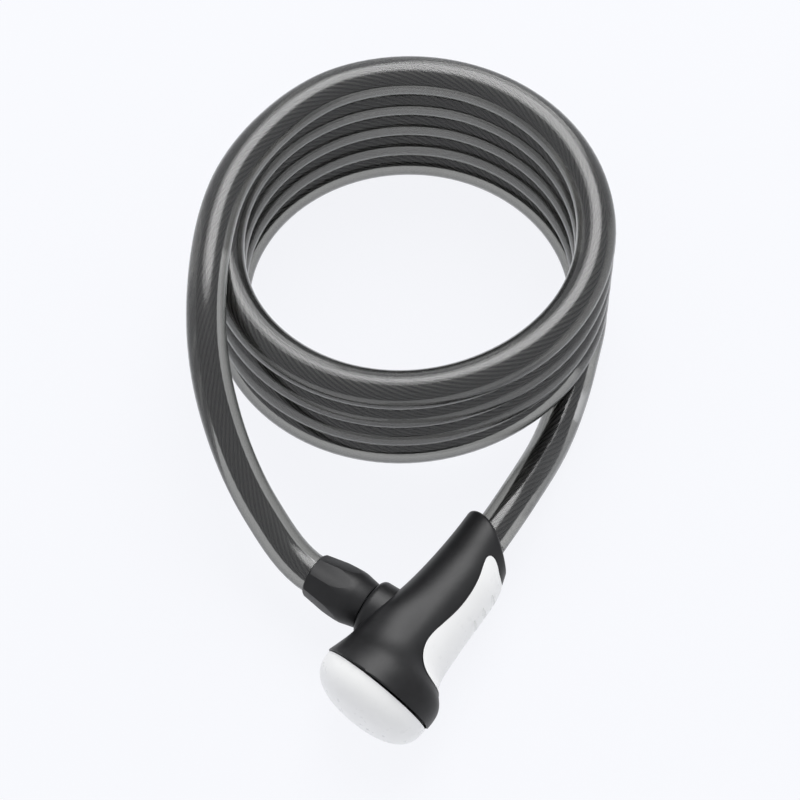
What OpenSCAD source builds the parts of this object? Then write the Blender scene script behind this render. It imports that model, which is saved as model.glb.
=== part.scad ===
// Coiled cable lock: a key-locked head on one end of a jacketed steel cable and a
// plug on the other. The head's axis lies along X with its cable end towards +X, the
// plug pulls out along +Y, and the coil and the head's bell stand on Z = 0.

/* [Cable] */
// Outside diameter of the vinyl jacket
cable_d = 12; // [11:0.5:12]
// Diameter of the steel core inside the jacket
core_d = 4.6; // [4:0.2:5.2]
// Long diameter of the coil, along the jacket's centre
coil_long = 112.6; // [108:0.2:118]
// Short diameter of the coil, along the jacket's centre
coil_short = 106.4; // [102:0.2:112]
// Whole turns in the coil, beside the part turn that reaches both leads
coil_turns = 4; // [3:1:5]
// Air between one turn and the next
turn_gap = 0.5; // [0.46:0.02:1]

/* [Head shell] */
// Diameter of the bell's rim
bell_d = 37.2; // [36.8:0.2:40]
// Wall of the grip round the lock body
grip_wall = 1.8; // [1.7:0.1:2.4]
// Diameter of the cable end
tail_d = 18.6; // [18:0.2:20]
// Length from the plug's axis to the cable end
tail_len = 40; // [38:1:46]
// Angle by which the rim faces down
rim_tilt = 10; // [6:1:11]
// Angle by which the rim faces towards the plug's side
rim_turn = 7; // [4:1:8]
// Angle by which the cable end is cut back on the grip side
tail_slant = 25; // [15:1:28]
// Thickness of the grip insert
insert_t = 1.2; // [0.9:0.1:1.3]
// Height by which the grip insert stands proud of the shell
insert_proud = 0.3; // [0.1:0.1:0.4]

/* [Lock body] */
// Diameter of the cast lock body
body_d = 21.6; // [21:0.2:21.8]
// Step from the body down to its neck round the cable ferrule
neck_step = 2; // [1.6:0.1:2.4]
// Diameter of the cylinder sleeve
sleeve_d = 16; // [15.6:0.2:16.6]
// Diameter of the turning rotor
rotor_d = 12; // [11.8:0.1:12.2]
// Number of wafers in the rotor
wafer_count = 5; // [3:1:5]
// Thickness of one wafer
wafer_t = 0.7; // [0.5:0.1:0.8]
// Distance from one wafer to the next
wafer_pitch = 1.15; // [1.1:0.05:1.4]
// Depth of the keyway's face behind the rim
rotor_sunk = 3; // [2.8:0.1:3.6]
// Height of the keyway
keyway_h = 7.2; // [6.4:0.2:7.6]
// Width of the keyway
keyway_w = 2.2; // [1.8:0.1:2.4]
// Distance of the drive pin from the rotor's axis
drive_throw = 1.8; // [1.6:0.1:1.9]

/* [Plug] */
// Diameter of the locking pin
pin_d = 8.4; // [8:0.2:8.6]
// Depth of the latch groove round the pin
groove_depth = 1.5; // [1.3:0.1:1.6]
// Thickness of the latch plate
latch_t = 3.6; // [3:0.1:3.8]
// Widest diameter of the plug housing
plug_d = 17.2; // [16.8:0.2:18]
// Length of the plug housing
plug_len = 18.6; // [18:0.2:22]
// Diameter of the collar that the plug stands against
collar_d = 16.3; // [16:0.1:17]
// Length of the collar
collar_len = 5; // [4.6:0.2:6]

/* [Dust cover] */
// Height of the domed cover over the rim
cover_h = 12; // [11.5:0.5:13]
// Wall of the cover
cover_wall = 2; // [1.6:0.2:2.4]
// Distance of the cover's pivot from the edge of its seat
pivot_in = 2.4; // [2.2:0.1:3]
// Angle of the pivot from the top, towards the plug
pivot_side = 22; // [10:1:40]

/* [Fits] */
// Radial clearance of what turns or slides
running_fit = 0.05; // [0.03:0.01:0.08]
// Radial clearance of what is fixed
seat_fit = 0.1; // [0.05:0.01:0.12]
// Gap between faces of pieces that move apart
face_gap = 0.3; // [0.2:0.05:0.4]

/* [Hidden] */
$fn = 64;

// Along the head's axis, from the plug's axis to the rim: the latch's slot, the drive
// pin in the rotor's inner end, the wafers, and the keyway's face
latch_slack = 0.15;
latch_side = 3.7;                  // plate beside its window
notch_side = 0.2;                  // play of the drive pin in the latch's notch
window_half = pin_d / 2 + notch_side;
latch_half = window_half + latch_side;
slot_half = latch_half + 2 * latch_slack;
drive_in = 1.5;
keyway_wall = 0.2;                 // rotor between the drive pin and the keyway
wafer_slots = 5;
wafer_last = 0.4;
wafer_in = 1.6;
rotor_x1 = -slot_half - face_gap;
drive_x0 = rotor_x1 - drive_in;
keyway_x1 = drive_x0 - keyway_wall;
wafer_x0 = keyway_x1 - wafer_last - (wafer_slots - 1) * wafer_pitch;
rotor_x0 = wafer_x0 - wafer_in;
bell_len = rotor_sunk - rotor_x0;

// Heights and places of the head
bell_r = bell_d / 2;
tail_r = tail_d / 2;
body_r = body_d / 2;
neck_r = body_r - neck_step;
grip_r = body_r + grip_wall;
tail_turn_r = 30;                  // radius of the cable end's outline, seen from above
tail_bulge = 1;                    // how far that outline stands out past the length
tail_corner = 0.6;                 // taper of the shell past the length
tail_centre = [tail_len + tail_bulge, 0] - tail_turn_r * [cos(tail_slant), -sin(tail_slant)];
tail_reach = tail_centre[0] + sqrt(pow(tail_turn_r, 2) - pow(tail_r - tail_corner - tail_centre[1], 2));
cable_fit = 0.5;                   // round the cable in the shell's mouth

// Collar, seal, plug and pin, measured along the plug's axis from the head's axis
port_proud = 0.8;                  // the port's boss over the shell
port_wall = 1.2;                   // the port's boss round the collar
collar_y0 = grip_r + port_proud;
collar_y1 = collar_y0 + collar_len;
spigot_r = 6.5;
spigot_len = 2.4;
seal_r = 0.75;
seal_in = 3;
seal_y = collar_y0 + seal_in;
plug_y0 = collar_y1 + face_gap;
plug_y1 = plug_y0 + plug_len;
tip_wall = 3.4;                    // body left beyond the pin's tip
pin_tip_y = tip_wall - body_r;
front_wall = 3.3;                  // housing in front of the pin's flange
flange_len = 3;
rear_wall = 2.4;                   // housing behind the ferrule
pin_shoulder_y = plug_y0 + front_wall;
ferrule_y = pin_shoulder_y + flange_len;
ferrule_end_y = plug_y1 - rear_wall;
housing_bore = 5.2;
plug_pin_r = 0.9;
plug_pin_in = 2;
core_stop = 0.6;                   // ferrule left between its pin and the core
plug_pin_y = ferrule_y + plug_pin_in;
plug_core_y0 = plug_pin_y + plug_pin_r + core_stop;
groove_r = pin_d / 2 - groove_depth;
groove_side = 0.3;

// Latch: the plate's window clears the pin at rest, and its lower edge enters the
// groove once the drive pin has gone from 45 degrees below to 45 degrees above
drive_r = 0.9;
drive_drop = drive_throw * sin(45);
latch_y = 1.5;
latch_travel = 2 * drive_drop;
latch_over = 2.4;                  // plate over its window and under it
latch_under = 2.8;
window_low = -groove_r - latch_slack - latch_travel;
latch_top = window_half + latch_over;
latch_low = window_low - latch_under;

// Lock body, ferrule and screw, measured along the head's axis from the plug's axis
body_sunk = 7.5;                   // the body's face behind the rim
body_wall = 3.9;                   // the body past the latch's slot
neck_back = 12;                    // the neck's end before the cable end
body_x0 = body_sunk - bell_len;
body_x1 = latch_half + body_wall;
neck_x1 = tail_len - neck_back;
ferrule_r = 4.8;
ferrule_in = 1;
ferrule_out = 3.5;
ferrule_flange = 2.2;
ferrule_x0 = body_x1 + ferrule_in;
ferrule_x1 = neck_x1 + ferrule_out;
cross_pin_r = 1.2;
cross_pin_back = 8;
cross_pin_x = neck_x1 - cross_pin_back;
tail_core_x0 = cross_pin_x + cross_pin_r + core_stop;
screw_r = 1.1;
screw_back = 3.4;
screw_x = neck_x1 - screw_back;
screw_head_r = 2.2;
screw_head_t = 1.4;
screw_stand = 0.6;                 // shell between the screw's head and the neck
screw_head_z = -neck_r - screw_stand;

// Cylinder: rotor, sleeve, drive pin, keyway and wafers
flange_t = 1.1;
flange_proud = 0.9;
flange_r = rotor_d / 2 + flange_proud;
sleeve_x1 = rotor_x1 - face_gap;
drive_out = 2.5;
drive_x1 = rotor_x1 + drive_out;
wafer_w = 5.6;
wafer_h = 10.2;
wafer_steps = [0.4, -0.2, 0.5, 0, 0.3];

// Rim: a tilted pocket holds the seat, and the cover turns on a pin in the seat
rim_wall = 2.2;
seat_r = bell_r - rim_wall;
seat_depth = 4.5;
seat_sunk = 0.5;
ledge_w = 1.6;                     // ledge that the seat stands on
hollow_depth = 5;
hollow_r = seat_r - ledge_w;
hollow_x0 = hollow_depth - bell_len;
hollow_x1 = -spigot_r - 0.6;        // the hollow narrows to the body before the port
cover_inset = 0.3;
cover_r = bell_r - cover_inset;
cover_skirt = 1;
cover_power = 2.4;
pivot_reach = seat_r - pivot_in;
pivot_r = 1.5;
pivot_head_r = 2.2;
pivot_head_t = 0.9;
pivot_head_z = 7;
boss_r = 3.4;

// The dome's outline over the rim plane, as radius and height
function dome(r, h) = concat([[r, 0]], [for (a = [0:7.5:90])
    [r * pow(cos(a), 2 / cover_power), cover_skirt + (h - cover_skirt) * pow(sin(a), 2 / cover_power)]]);
rim_slant = acos(cos(rim_tilt) * cos(rim_turn));   // between the rim's normal and the axis
cover_reach = max([for (p = dome(cover_r, cover_h))
    (p[1] + face_gap) * cos(rim_slant) + p[0] * sin(rim_slant)]);

// The head's place: the origin is under the middle of the head and plug
axis_z = bell_r;
head_x = (bell_len + cover_reach - tail_reach) / 2;
head_y = (bell_r - plug_y1) / 2;

// Coil: an oval stack of level turns that climb one pitch on the side of the head
cable_r = cable_d / 2;
pitch = cable_d + turn_gap;
coil_centre = [92.5, 57.5];
coil_turned = -57;
climb_from = 160;
climb_to = 320;
climb_ease = 0.25;
ring_step = 15;
coil_start = -13;
coil_end = 180 + atan(coil_short * cos(coil_turned) / (coil_long * sin(coil_turned)))
    + 360 * coil_turns;
coil_sides = 6;
lead_sides = 8;

// Share of the climb done at a share s of its way, with eased ends
function eased(s) =
    s <= 0 ? 0 :
    s >= 1 ? 1 :
    s < climb_ease ? s * s / (2 * climb_ease * (1 - climb_ease)) :
    s > 1 - climb_ease ? 1 - pow(1 - s, 2) / (2 * climb_ease * (1 - climb_ease)) :
    (s - climb_ease / 2) / (1 - climb_ease);
function coil_z(t) = let (turn = floor((t - coil_start) / 360), a = t - 360 * turn)
    cable_r + pitch * (turn + eased((a - climb_from) / (climb_to - climb_from)));
function turned(v, a) = [v[0] * cos(a) - v[1] * sin(a), v[0] * sin(a) + v[1] * cos(a)];
function coil_point(t) = let (
    p = coil_centre + turned([coil_long / 2 * cos(t), coil_short / 2 * sin(t)], coil_turned))
    [p[0], p[1], coil_z(t)];
function unit(v) = v / norm(v);
function coil_way(t) = unit(coil_point(t + 0.5) - coil_point(t - 0.5));
function level(v) = unit([v[0], v[1], 0]);

// The coil's rings: its two ends run straight for one cable diameter
coil_angles = concat([coil_start], [for (t = [0:ring_step:coil_end]) t], [coil_end]);
coil_foot = coil_point(coil_start) - cable_d * level(coil_way(coil_start));
coil_head = coil_point(coil_end) + cable_d * level(coil_way(coil_end));
coil_path = concat([coil_foot], [for (t = coil_angles) coil_point(t)], [coil_head]);

// Up direction of the cable's section at a way w, and the section's corners. The
// coil's six-sided section keeps the jacket's height between its flats, and its area.
function section_up(w) = unit([0, 0, 1] - w[2] * w);
function section(sides, half_w, half_h) = [for (k = [0:sides - 1])
    [half_w * cos(360 * (k + (sides % 4 == 0 ? 0.5 : 0)) / sides),
     half_h * sin(360 * (k + (sides % 4 == 0 ? 0.5 : 0)) / sides)]];
coil_section = section(coil_sides, PI * cable_r / 3, cable_r / sin(60));
lead_r = cable_r * sqrt(2 * PI / (lead_sides * sin(360 / lead_sides)));
lead_section = section(lead_sides, lead_r, lead_r);

// Least gap between facing flats of neighbouring turns
coil_gap = min([for (t = [0:ring_step:coil_end - 360])
    (coil_point(t + 360) - coil_point(t)) * section_up(coil_way(t))]) - cable_d;
echo(coil_gap_to_itself = coil_gap);

// Free stretches of the cable: points along the centre, then the end that they meet
plug_rear = [head_x, head_y + plug_y1, axis_z];
ferrule_face = [head_x + ferrule_x1, head_y, axis_z];
plug_lead_path = [plug_rear, [1.5, 51.5, 24.5], [15, 74.5, 39.5], [34.5, 93, 56],
    [58, 105.5, 57.8], coil_head - [face_gap, 0, 0]];
tail_lead_path = [ferrule_face, [49.5, -9.2, 17.8], [77.5, -5.3, 7], coil_foot];

// Frames: the head's axis, and the tilted rim plane with its normal pointing out
module on_head() { translate([head_x, head_y, axis_z]) children(); }
module on_rim() { translate([-bell_len, 0, 0]) rotate([0, -90 - rim_tilt, -rim_turn]) children(); }
module on_pivot() { on_rim() rotate([0, 0, pivot_side]) translate([pivot_reach, 0, 0]) children(); }

// Rounds along the head's axis, along the plug's axis and upright
module along_x(x0, x1, r) { translate([x0, 0, 0]) rotate([0, 90, 0]) cylinder(h = x1 - x0, r = r); }
module along_y(y0, y1, r) { translate([0, y0, 0]) rotate([-90, 0, 0]) cylinder(h = y1 - y0, r = r); }
module upright(z0, z1, r) { translate([0, 0, z0]) cylinder(h = z1 - z0, r = r); }
module block(low, high) { translate(low) cube(high - low); }

// The shell's outer radius at x: a bell that flares from the grip, and a tapered tail
rim_band = 3.5;                    // straight band of the bell at its rim
flare_len = bell_len - rim_band;
flare_steps = 9;
taper_from = 8;
taper_steps = 6;
shell_front = -bell_len - 6;
shell_end = tail_len + 8;
function smooth(s) = s <= 0 ? 0 : s >= 1 ? 1 : s * s * (3 - 2 * s);
function shell_r(x) = grip_r + (bell_r - grip_r) * smooth(-x / flare_len)
    - (grip_r - tail_r) * pow(max(0, (x - taper_from) / (tail_len - taper_from)), 1.5);
shell_stations = concat([shell_front],
    [for (k = [flare_steps:-1:0]) -flare_len * k / flare_steps],
    [for (k = [0:taper_steps]) taper_from + (shell_end - taper_from) * k / taper_steps]);
module shell_form(extra) {
    rotate([0, 90, 0]) rotate_extrude()
        polygon(concat([[0, shell_front]], [for (x = shell_stations) [shell_r(x) + extra, x]],
            [[0, shell_end]]));
}

// The hollow behind the seat: it takes the lock body and its neck, then the cable
module shell_hollow() {
    body_bore = body_r + seat_fit;
    neck_bore = neck_r + seat_fit;
    cable_bore = lead_r + cable_fit;
    rotate([0, 90, 0]) rotate_extrude()
        polygon([[0, -bell_len], [hollow_r, -bell_len], [hollow_r, hollow_x0], [body_bore, hollow_x1],
            [body_bore, body_x1 + seat_fit], [neck_bore, body_x1 + seat_fit],
            [neck_bore, neck_x1 + seat_fit], [cable_bore, neck_x1 + seat_fit],
            [cable_bore, shell_end + 1], [0, shell_end + 1]]);
}

// The port's bore for the collar's spigot, with the seat of the collar in the flare
module port_hollow() {
    bore_r = spigot_r + seat_fit;
    ring_r = collar_d / 2 + seat_fit;
    rotate([-90, 0, 0]) rotate_extrude()
        polygon([[0, body_r / 2], [bore_r, body_r / 2], [bore_r, collar_y0],
            [ring_r, collar_y0], [ring_r, bell_r + 1], [0, bell_r + 1]]);
}

// Outline of the grip insert, seen from above
insert_line = [[30.1, -5.1], [28.3, -4.9], [22.7, -6.4], [16.5, -7], [8.7, -6.6], [3.8, -5.7],
    [-0.9, -4.7], [-4.7, -4.8], [-8, -6], [-10.4, -7.8], [-12, -9.9], [-12.6, -12.5],
    [-12.6, -22], [26, -22], [26.5, -11.9], [29.6, -8.3], [30.7, -6.4]];
module insert_area(extra) {
    translate([0, 0, -bell_r]) linear_extrude(2 * bell_r) offset(delta = extra) polygon(insert_line);
}

// Moulded outer shell, hollow for the lock body, with the plug's port and cable bore
module head_shell() {
    port_boss_r = collar_d / 2 + port_wall;
    color([0.13, 0.13, 0.14]) on_head() difference() {
        intersection() {
            union() {
                shell_form(0);
                along_y(0, collar_y0, port_boss_r);
            }
            union() {
                block([-bell_len - 8, -bell_r, -bell_r], [tail_centre[0], bell_r, bell_r]);
                translate(tail_centre) upright(-bell_r, bell_r, tail_turn_r);
            }
        }
        on_rim() upright(0, 20, 2 * bell_r);
        on_rim() upright(-seat_depth, 1, seat_r + seat_fit);
        shell_hollow();
        port_hollow();
        translate([screw_x, 0, 0]) upright(-bell_r, 0, screw_r + seat_fit);
        translate([screw_x, 0, 0]) upright(-bell_r, screw_head_z, screw_head_r + seat_fit);
        difference() {
            insert_area(seat_fit);
            shell_form(insert_proud - insert_t - seat_fit);
        }
    }
}

// White leaf let into the grip side, with three finger notches
module grip_insert() {
    notch_r = 2.4;
    notch_depth = 0.6;
    notch_places = [21.1, 16.1, 11.5];
    color([0.95, 0.95, 0.95]) on_head() difference() {
        intersection() {
            shell_form(insert_proud);
            insert_area(0);
        }
        shell_form(insert_proud - insert_t);
        for (x = notch_places)
            translate([x, -shell_r(x) - insert_proud - notch_r + notch_depth, 0])
                upright(-bell_r, bell_r, notch_r);
    }
}

// Ring round the plug's port, with a groove for its seal
module collar() {
    color([0.15, 0.15, 0.16]) on_head() difference() {
        union() {
            along_y(collar_y0, collar_y1, collar_d / 2);
            along_y(collar_y0 - spigot_len, collar_y0, spigot_r);
        }
        along_y(collar_y0 - spigot_len - 1, collar_y1 + 1, pin_d / 2 + seat_fit);
        along_y(seal_y - seal_r - running_fit, seal_y + seal_r + running_fit,
            pin_d / 2 + 2 * (seal_r + running_fit));
    }
}

// Rubber ring that keeps water out round the pin
module port_seal() {
    color([0.05, 0.05, 0.05]) on_head() translate([0, seal_y, 0]) rotate([-90, 0, 0])
        rotate_extrude() translate([pin_d / 2 + running_fit + seal_r, 0]) circle(r = seal_r, $fn = 24);
}

// Cast body that holds the cylinder, the latch, the pin and the cable's ferrule
module lock_body() {
    slot_side = latch_t / 2 + latch_slack;
    color([0.62, 0.63, 0.65]) on_head() difference() {
        union() {
            along_x(body_x0, body_x1, body_r);
            along_x(body_x1, neck_x1, neck_r);
        }
        along_x(body_x0 - 1, sleeve_x1 + seat_fit, sleeve_d / 2 + running_fit);
        along_x(sleeve_x1, -slot_half, rotor_d / 2 + seat_fit);
        block([-slot_half, latch_y - slot_side, latch_low - 2 * latch_slack],
            [slot_half, latch_y + slot_side, body_d]);
        along_y(pin_tip_y - 0.6, body_d, pin_d / 2 + seat_fit);
        along_x(ferrule_x0 - 0.5, neck_x1 + 1, ferrule_r + running_fit);
        translate([cross_pin_x, 0, 0]) upright(-body_r, body_r, cross_pin_r + running_fit);
        translate([screw_x, 0, 0]) upright(-body_r, 0, screw_r + running_fit);
    }
}

// Brass sleeve of the cylinder: grooves on two sides take wafers that stand out
module cylinder_sleeve() {
    groove_half = wafer_w / 2 + face_gap;
    groove_reach = rotor_d / 2 + 1;
    groove_x0 = rotor_x0 + flange_t + 2 * running_fit;
    groove_x1 = keyway_x1;
    color([0.78, 0.65, 0.36]) on_head() difference() {
        along_x(rotor_x0, sleeve_x1, sleeve_d / 2);
        along_x(rotor_x0 - 1, sleeve_x1 + 1, rotor_d / 2 + running_fit);
        along_x(rotor_x0 - 1, groove_x0, flange_r + running_fit);
        block([groove_x0, -groove_half, 0], [groove_x1, groove_half, groove_reach]);
        block([groove_x0, -groove_reach, -groove_half], [groove_x1, 0, groove_half]);
    }
}

// Turning rotor with its keyway and a slot for each wafer
module rotor() {
    side = wafer_w / 2 + 2 * running_fit;
    slot_t = wafer_t + 4 * running_fit;
    color([0.82, 0.69, 0.4]) on_head() difference() {
        union() {
            along_x(rotor_x0, rotor_x1, rotor_d / 2);
            along_x(rotor_x0, rotor_x0 + flange_t, flange_r);
        }
        block([rotor_x0 - 1, -keyway_w / 2, -keyway_h / 2], [keyway_x1, keyway_w / 2, keyway_h / 2]);
        for (k = [0:wafer_count - 1])
            translate([wafer_x0 + k * wafer_pitch, 0, 0])
                block([-slot_t / 2, -side, -rotor_d], [slot_t / 2, side, rotor_d]);
        on_drive() along_x(drive_x0, rotor_x1 + 1, drive_r + running_fit);
    }
}

// Eccentric pin that lifts the latch as the rotor turns
module on_drive() { translate([0, drive_drop, -drive_drop]) children(); }
module drive_pin() { color([0.75, 0.76, 0.78]) on_head() on_drive() along_x(drive_x0, drive_x1, drive_r); }

// One wafer, with its window at its own height
module wafer(k) {
    window_w = keyway_w + 0.5;
    window_h = keyway_h - 1.6;
    step = wafer_steps[k];
    color([0.85, 0.74, 0.45]) on_head() translate([wafer_x0 + k * wafer_pitch, 0, 0]) difference() {
        block([-wafer_t / 2, -wafer_w / 2, -wafer_h / 2], [wafer_t / 2, wafer_w / 2, wafer_h / 2]);
        block([-wafer_t, -window_w / 2, step - window_h / 2], [wafer_t, window_w / 2, step + window_h / 2]);
    }
}

// Plate that slides up into the pin's groove, notched for the drive pin
module latch() {
    notch_half = drive_r + notch_side;
    color([0.7, 0.71, 0.73]) on_head() difference() {
        block([-latch_half, latch_y - latch_t / 2, latch_low], [latch_half, latch_y + latch_t / 2, latch_top]);
        block([-window_half, latch_y - latch_t, window_low], [window_half, latch_y + latch_t, window_half]);
        block([-latch_half - 1, latch_y - latch_t, -drive_drop - notch_half],
            [drive_x1 + 0.3, latch_y + latch_t, -drive_drop + notch_half]);
    }
}

// Black plate in the bell's mouth: it keeps the cylinder in and carries the pivot
module cover_seat() {
    color([0.09, 0.09, 0.1]) on_head() difference() {
        on_rim() upright(-seat_depth, -seat_sunk, seat_r);
        along_x(rotor_x0 - seat_fit, 0, sleeve_d / 2 + seat_fit);
        along_x(-2 * bell_len, 0, rotor_d / 2 + seat_fit);
        on_pivot() upright(-seat_depth - 1, 1, pivot_r + running_fit);
    }
}

// Headed pin that the dust cover turns on
module cover_pivot() {
    color([0.8, 0.8, 0.82]) on_head() on_pivot() {
        upright(-seat_depth, pivot_head_z, pivot_r);
        upright(pivot_head_z, pivot_head_z + pivot_head_t, pivot_head_r);
    }
}

// Domed white cover over the keyway
module dust_cover() {
    color([0.96, 0.96, 0.96]) on_head() difference() {
        union() {
            difference() {
                on_rim() translate([0, 0, face_gap])
                    rotate_extrude() polygon(concat([[0, 0]], dome(cover_r, cover_h)));
                on_rim() translate([0, 0, face_gap - 0.01])
                    rotate_extrude() polygon(concat([[0, 0]],
                        dome(cover_r - cover_wall, cover_h - cover_wall)));
            }
            intersection() {
                on_rim() translate([0, 0, face_gap])
                    rotate_extrude() polygon(concat([[0, 0]], dome(cover_r, cover_h)));
                on_pivot() upright(face_gap, cover_h, boss_r);
            }
        }
        on_pivot() upright(0, cover_h + 1, pivot_r + running_fit);
        on_pivot() upright(pivot_head_z - 0.2, cover_h + 1, pivot_head_r + 2 * running_fit);
    }
}

// Steel ferrule crimped on the cable's core inside the head
module tail_ferrule() {
    color([0.72, 0.73, 0.75]) on_head() difference() {
        union() {
            along_x(ferrule_x0, ferrule_x1 - ferrule_flange, ferrule_r);
            along_x(ferrule_x1 - ferrule_flange, ferrule_x1, cable_r);
        }
        along_x(tail_core_x0, ferrule_x1 + 1, core_d / 2 + running_fit);
        translate([cross_pin_x, 0, 0]) upright(-body_r, body_r, cross_pin_r + running_fit);
    }
}

// Pin through the body's neck and the ferrule
module ferrule_pin() {
    color([0.66, 0.67, 0.7]) on_head() translate([cross_pin_x, 0, 0])
        upright(seat_fit - neck_r, neck_r - seat_fit, cross_pin_r);
}

// Screw that holds the shell on the body, from below
module shell_screw() {
    socket_r = 1;
    socket_deep = 1;
    color([0.3, 0.3, 0.32]) on_head() translate([screw_x, 0, 0]) difference() {
        union() {
            upright(screw_head_z, -ferrule_r - 0.6, screw_r);
            upright(screw_head_z - screw_head_t, screw_head_z, screw_head_r);
        }
        translate([0, 0, screw_head_z - screw_head_t - 0.1]) cylinder(h = socket_deep, r = socket_r, $fn = 6);
    }
}

// Steel locking pin: chamfered tip, latch groove, and a flange inside the housing
module locking_pin() {
    tip = 1;
    groove_y0 = latch_y - latch_t / 2 - groove_side;
    groove_y1 = latch_y + latch_t / 2 + groove_side;
    color([0.78, 0.79, 0.81]) on_head() rotate([-90, 0, 0]) rotate_extrude()
        polygon([[0, pin_tip_y], [pin_d / 2 - tip, pin_tip_y], [pin_d / 2, pin_tip_y + tip],
            [pin_d / 2, groove_y0], [groove_r, groove_y0], [groove_r, groove_y1],
            [pin_d / 2, groove_y1], [pin_d / 2, pin_shoulder_y],
            [housing_bore, pin_shoulder_y], [housing_bore, ferrule_y], [0, ferrule_y]]);
}

// Faceted barrel of the plug
module plug_housing() {
    front_r = 7.05;
    front_lip = 0.5;
    waist = plug_y0 + 6.1;
    waist_half = 2;
    facet_deep = 0.2;
    taper_r = 8.1;
    taper_y = 12.1;
    rear_r = cable_r + 0.4;
    rear_lip = 0.5;
    edge = 0.8;
    facets = 8;
    color([0.14, 0.14, 0.15]) on_head() difference() {
        intersection() {
            rotate([-90, 0, 0]) rotate_extrude()
                polygon([[0, plug_y0], [front_r, plug_y0], [front_r + front_lip, plug_y0 + edge],
                    [plug_d / 2 + facet_deep, waist - waist_half],
                    [plug_d / 2 + facet_deep, waist + waist_half], [taper_r, plug_y0 + taper_y],
                    [rear_r + rear_lip, plug_y1 - edge], [rear_r, plug_y1], [0, plug_y1]]);
            rotate([-90, 360 / facets / 2, 0]) translate([0, 0, plug_y0 - 1])
                cylinder(h = plug_len + 2, r = plug_d / 2 / cos(180 / facets), $fn = facets);
        }
        along_y(plug_y0 - 1, plug_y1 + 1, pin_d / 2 + running_fit);
        along_y(pin_shoulder_y, ferrule_end_y, housing_bore + running_fit);
    }
}

// Steel ferrule crimped on the cable's core inside the plug
module plug_ferrule() {
    color([0.72, 0.73, 0.75]) on_head() difference() {
        along_y(ferrule_y, ferrule_end_y, housing_bore);
        along_y(plug_core_y0, plug_y1, core_d / 2 + running_fit);
        plug_pin_place() cylinder(h = 4 * housing_bore, r = plug_pin_r + running_fit, center = true);
    }
}

// Pin across the plug's ferrule
module plug_pin_place() { translate([0, plug_pin_y, 0]) rotate([0, 90, 0]) children(); }
module plug_cross_pin() {
    color([0.66, 0.67, 0.7]) on_head() plug_pin_place()
        cylinder(h = 2 * (housing_bore - face_gap), r = plug_pin_r, center = true);
}

// Ends of the cable's steel core, in the bores of the two ferrules
module tail_core_end() {
    color([0.55, 0.56, 0.58]) on_head() along_x(tail_core_x0, ferrule_x1, core_d / 2);
}
module plug_core_end() {
    color([0.55, 0.56, 0.58]) on_head() along_y(plug_core_y0, plug_y1, core_d / 2);
}

// Tube with a given section swept along points, square to the given way at each end
function ways(path, first, last) = [for (i = [0:len(path) - 1])
    i == 0 ? first : i == len(path) - 1 ? last : unit(path[i + 1] - path[i - 1])];
module tube(path, shape, first, last) {
    n = len(shape);
    m = len(path);
    w = ways(path, first, last);
    points = [for (i = [0:m - 1]) let (up = section_up(w[i]), side = cross(up, w[i]))
        for (c = shape) path[i] + c[0] * side + c[1] * up];
    sides = [for (i = [0:m - 2]) for (k = [0:n - 1])
        let (a = i * n + k, b = i * n + (k + 1) % n)
        for (f = [[a, b, a + n], [b, b + n, a + n]]) f];
    caps = [for (k = [1:n - 2]) for (f = [[0, k + 1, k],
        [(m - 1) * n, (m - 1) * n + k, (m - 1) * n + k + 1]]) f];
    polyhedron(points = points, faces = concat(sides, caps));
}

// The coil, as one unbroken tube
module cable_coil() {
    color([0.3, 0.3, 0.31])
        tube(coil_path, coil_section, level(coil_way(coil_start)), level(coil_way(coil_end)));
}

// Free stretch from the plug up to the top of the coil
module plug_lead() {
    color([0.3, 0.3, 0.31]) tube(plug_lead_path, lead_section, [0, 1, 0], [1, 0, 0]);
}

// Free stretch from the head down to the foot of the coil
module tail_lead() {
    color([0.3, 0.3, 0.31]) tube(tail_lead_path, lead_section, [1, 0, 0], level(coil_way(coil_start)));
}

head_shell();
grip_insert();
collar();
port_seal();
lock_body();
cylinder_sleeve();
cover_seat();
cover_pivot();
tail_ferrule();
tail_core_end();
ferrule_pin();
shell_screw();
rotor();
drive_pin();
for (k = [0:wafer_count - 1]) wafer(k);
latch();
dust_cover();
locking_pin();
plug_housing();
plug_ferrule();
plug_cross_pin();
plug_core_end();
cable_coil();
plug_lead();
tail_lead();
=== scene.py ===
# %% [markdown]
# # A coiled cable lock
#
# The lock is a steel cable in a smoky vinyl jacket, with a plug on one end and a
# key-locked head on the other. The frame brings in every solid of the mechanism, already
# in its place and on its moving body. This lesson dresses the surfaces that are seen:
# the cable, the moulded head, its grip, collar, dust cover and plug.
#
# Lengths are in millimetres until a mesh is made. MM turns them to metres.

# %% Frame and first measures
import math

import bmesh
import bpy
from mathutils import Matrix, Vector
from mathutils.kdtree import KDTree


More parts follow.
